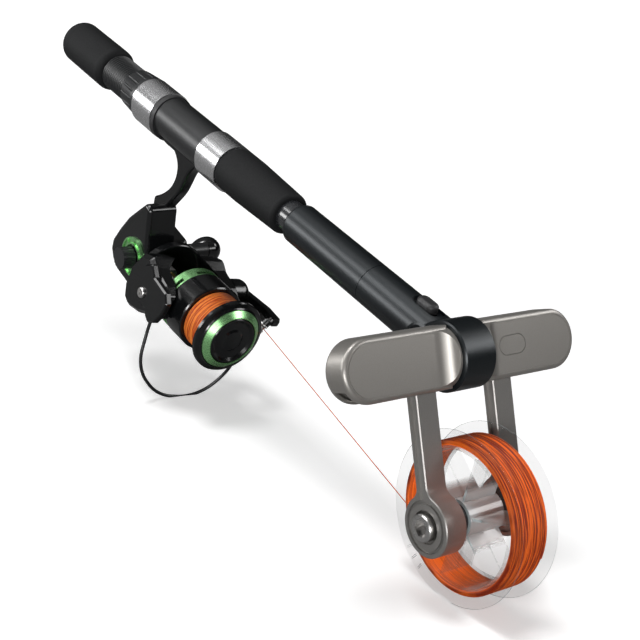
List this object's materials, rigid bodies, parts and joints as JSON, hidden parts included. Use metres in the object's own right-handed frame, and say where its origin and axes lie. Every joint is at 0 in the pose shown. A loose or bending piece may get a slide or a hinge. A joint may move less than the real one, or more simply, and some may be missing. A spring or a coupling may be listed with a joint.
{
  "type": "fishing line winder",
  "caption": "Handheld fishing line winder: rod butt handle with a spinning reel, and a swivelling T-shaped head whose two sliding arms hold a spool of braided line.",
  "frame": {"origin": "on the rod's axis in the middle of the butt grip", "axes": "+X along the rod to the winder head, +Y along the crossbar towards the push button, +Z away from the reel"},
  "size_m": [0.537, 0.16, 0.1913],
  "materials": {
    "foam": "matte black foam grip",
    "blank": "dark lacquered carbon tube",
    "seat": "satin black plastic",
    "silver": "polished silver rings",
    "black_metal": "blue-black anodised metal",
    "dark_metal": "plain steel",
    "bar_metal": "warm grey satin paint",
    "arm_metal": "warm grey satin paint",
    "steel": "bright steel",
    "brass": "plain brass",
    "rubber": "black rubber",
    "clear": "clear moulded plastic",
    "orange_line": "orange braided line",
    "reel_black": "gloss black",
    "reel_matt": "matte black",
    "green": "green anodised",
    "felt": "pressed carbon fibre cloth"
  },
  "bodies": {
    "handle": {"butt_grip": "foam", "rod_blank": "blank", "seat_tube": "seat", "fixed_hood": "silver", "foregrip": "foam", "collet": "black_metal", "handle_body": "black_metal", "reel_frame": "reel_black", "main_bearing": "steel", "side_cover": "reel_black", "side_ring": "green", "working_line": "orange_line"},
    "moving_hood": {"moving_hood": "silver", "hood_lip_ring": "reel_matt"},
    "hood_nut": {"hood_nut": "seat"},
    "clamp_sleeve": {"clamp_sleeve": "black_metal"},
    "lock_slider": {"lock_slider": "reel_matt"},
    "head": {"bar_hub": "dark_metal", "guide_rod": "steel", "right_front_shell": "bar_metal", "right_rear_shell": "bar_metal", "left_front_shell": "bar_metal", "left_rear_shell": "bar_metal", "shell_screws": "dark_metal", "button_spring": "steel"},
    "push_button": {"push_button": "bar_metal"},
    "right_arm": {"right_arm": "arm_metal", "right_bearing": "steel"},
    "left_arm": {"left_arm": "arm_metal", "left_bearing": "steel"},
    "line_spool": {"right_axle": "steel", "right_cone": "rubber", "spool_far_half": "clear", "spool_near_half": "clear", "braid_pack": "orange_line"},
    "left_spindle": {"left_axle": "steel", "left_cone": "rubber"},
    "crank": {"crank_shaft": "black_metal", "crank_arm": "black_metal", "knob_pin": "steel", "drive_gear": "brass", "crank_cap": "reel_matt"},
    "crank_knob": {"crank_knob": "reel_black"},
    "rotor": {"rotor": "reel_black", "rotor_nut": "steel", "pinion": "brass", "bail_screws": "steel"},
    "bail": {"bail_lever": "reel_matt", "roller_arm": "reel_matt", "bail_wire": "dark_metal", "roller_pin": "dark_metal"},
    "line_roller": {"line_roller": "steel"},
    "main_shaft": {"main_shaft": "steel"},
    "reel_spool": {"reel_spool": "reel_black", "spool_rear_band": "green", "spool_front_ring": "green", "reel_line_pack": "orange_line", "drag_washers": "felt"},
    "drag_knob": {"drag_knob": "reel_matt"}
  },
  "joints": [
    {"name": "moving_hood_slide", "type": "slide", "parent": "handle", "child": "moving_hood", "axis": [-1, 0, 0], "range_m": [0, 0.022]},
    {"name": "hood_nut_turn", "type": "hinge", "parent": "moving_hood", "child": "hood_nut", "pos_m": [0.0727, 0, 0], "axis": [1, 0, 0], "range_deg": [0, 3305]},
    {"name": "clamp_sleeve_turn", "type": "hinge", "parent": "handle", "child": "clamp_sleeve", "pos_m": [0.30475, 0, 0], "axis": [1, 0, 0], "range_deg": [0, 720]},
    {"name": "lock_slide", "type": "slide", "parent": "handle", "child": "lock_slider", "axis": [1, 0, 0], "range_m": [0, 0.005]},
    {"name": "head_swivel", "type": "hinge", "parent": "handle", "child": "head", "pos_m": [0.4149, 0, 0], "axis": [0, -1, 0], "range_deg": [-57, 57], "deforming": ["working_line"]},
    {"name": "button_press", "type": "slide", "parent": "head", "child": "push_button", "axis": [-0.8434, 0, -0.5373], "range_m": [0, 0.001], "stiffness_N_per_m": 400, "springref_m": -0.0005, "deforming": ["button_spring"]},
    {"name": "right_arm_slide", "type": "slide", "parent": "head", "child": "right_arm", "axis": [0, 1, 0], "range_m": [0, 0.033], "deforming": ["working_line"]},
    {"name": "left_arm_slide", "type": "slide", "parent": "head", "child": "left_arm", "axis": [0, -1, 0], "range_m": [0, 0.033]},
    {"name": "line_spool_spin", "type": "hinge", "parent": "right_arm", "child": "line_spool", "pos_m": [0.45971, 0, -0.07034], "axis": [0, 1, 0], "continuous": true, "deforming": ["working_line"]},
    {"name": "left_spindle_spin", "type": "hinge", "parent": "left_arm", "child": "left_spindle", "pos_m": [0.45971, 0, -0.07034], "axis": [0, 1, 0], "continuous": true},
    {"name": "crank_spin", "type": "hinge", "parent": "handle", "child": "crank", "pos_m": [0.1214, 0, -0.0999], "axis": [0, 1, 0], "continuous": true, "deforming": ["working_line"]},
    {"name": "crank_knob_spin", "type": "hinge", "parent": "crank", "child": "crank_knob", "pos_m": [0.08626, 0, -0.12102], "axis": [0, 1, 0], "continuous": true},
    {"name": "rotor_spin", "type": "hinge", "parent": "handle", "child": "rotor", "pos_m": [0.2256, 0, -0.1051], "axis": [1, 0, 0], "continuous": true, "deforming": ["working_line"]},
    {"name": "bail_flip", "type": "hinge", "parent": "rotor", "child": "bail", "pos_m": [0.1676, 0, -0.1051], "axis": [0, 0.9903, -0.1392], "range_deg": [0, 50], "deforming": ["working_line"]},
    {"name": "line_roller_spin", "type": "hinge", "parent": "bail", "child": "line_roller", "pos_m": [0.21339, 0.03456, -0.10904], "axis": [0.0827, 0.6851, 0.7237], "continuous": true},
    {"name": "main_shaft_slide", "type": "slide", "parent": "handle", "child": "main_shaft", "axis": [1, 0, 0], "range_m": [-0.014, 0], "deforming": ["working_line"]},
    {"name": "reel_spool_spin", "type": "hinge", "parent": "main_shaft", "child": "reel_spool", "pos_m": [0.2256, 0, -0.1051], "axis": [1, 0, 0], "continuous": true, "deforming": ["working_line"]},
    {"name": "drag_knob_turn", "type": "hinge", "parent": "main_shaft", "child": "drag_knob", "pos_m": [0.2256, 0, -0.1051], "axis": [1, 0, 0], "range_deg": [-540, 540]}
  ],
  "couplings": [
    {"joint": "hood_nut_turn", "follows": "moving_hood_slide", "rad_per_m": 2618},
    {"joint": "left_spindle_spin", "follows": "line_spool_spin", "ratio": 1},
    {"joint": "rotor_spin", "follows": "crank_spin", "ratio": 5.25}
  ]
}
